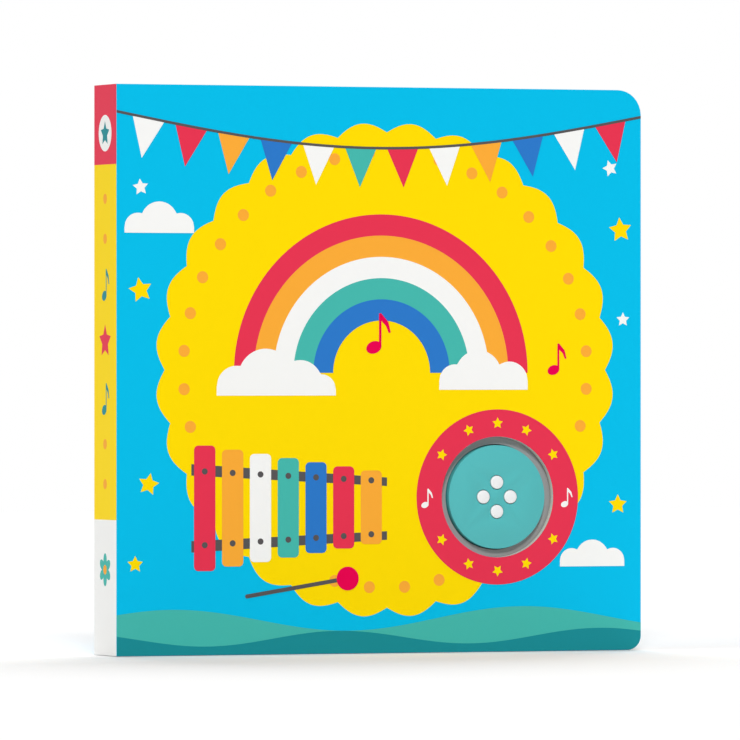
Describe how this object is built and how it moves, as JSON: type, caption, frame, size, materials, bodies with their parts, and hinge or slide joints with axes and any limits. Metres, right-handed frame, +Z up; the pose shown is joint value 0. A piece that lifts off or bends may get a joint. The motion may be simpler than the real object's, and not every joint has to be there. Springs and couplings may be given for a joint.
{
  "type": "childrens sound board book",
  "caption": "Square board book that stands closed, with hinged covers, thick pages and a round push button in a die-cut hole over a battery sound module.",
  "frame": {"origin": "middle of the bottom of the closed book", "axes": "+Z up along the height, +X from the spine to the fore edge, -Y out of the front cover"},
  "size_m": [0.2, 0.022, 0.2],
  "materials": {
    "cover_print": "laminated print",
    "spine_print": "laminated print",
    "back_print": "laminated print",
    "pages": "coated board, cut edges",
    "end_print": "laminated print",
    "grey_board": "cut grey board",
    "housing": "fine texture",
    "button_teal": "satin",
    "button_white": "satin",
    "dome_rubber": "matt",
    "board_green": "lacquered",
    "resin": "glossy",
    "steel": "plain",
    "cone_paper": "matt",
    "wire_red": "satin",
    "wire_black": "satin"
  },
  "bodies": {
    "pages": {"page_block": "pages", "spine_board": "spine_print"},
    "front": {"front_cover": "cover_print"},
    "back": {"back_cover": "back_print", "end_page": "end_print", "module_frame": "grey_board", "housing_front": "housing", "housing_back": "housing", "key_dome": "dome_rubber", "circuit_board": "board_green", "chip_blob": "resin", "speaker_frame": "steel", "speaker_cone": "cone_paper", "speaker_magnet": "steel", "cell_1": "steel", "cell_2": "steel", "cell_3": "steel", "contact_1": "steel", "housing_screw_1": "steel", "contact_2": "steel", "housing_screw_2": "steel", "housing_screw_3": "steel", "housing_screw_4": "steel", "speaker_wire_1": "wire_red", "speaker_wire_2": "wire_black", "battery_wire_1": "wire_red", "battery_wire_2": "wire_black"},
    "key": {"button_cap": "button_teal", "button_plunger": "button_white"},
    "door": {"battery_door": "housing", "door_screw": "steel", "contact_3": "steel", "contact_4": "steel"}
  },
  "joints": [
    {"name": "front_cover_hinge", "type": "hinge", "parent": "pages", "child": "front", "pos_m": [-0.10015, -0.00865, 0.1], "axis": [0, 0, -1], "range_deg": [0, 180]},
    {"name": "back_cover_hinge", "type": "hinge", "parent": "pages", "child": "back", "pos_m": [-0.10015, 0.00865, 0.1], "axis": [0, 0, 1], "range_deg": [0, 180]},
    {"name": "key_press", "type": "slide", "parent": "back", "child": "key", "axis": [0, 1, 0], "range_m": [0, 0.002], "stiffness_N_per_m": 900, "springref_m": -0.001, "deforming": ["key_dome"]},
    {"name": "battery_door_lift", "type": "slide", "parent": "back", "child": "door", "axis": [0, 1, 0], "range_m": [0, 0.012]}
  ]
}
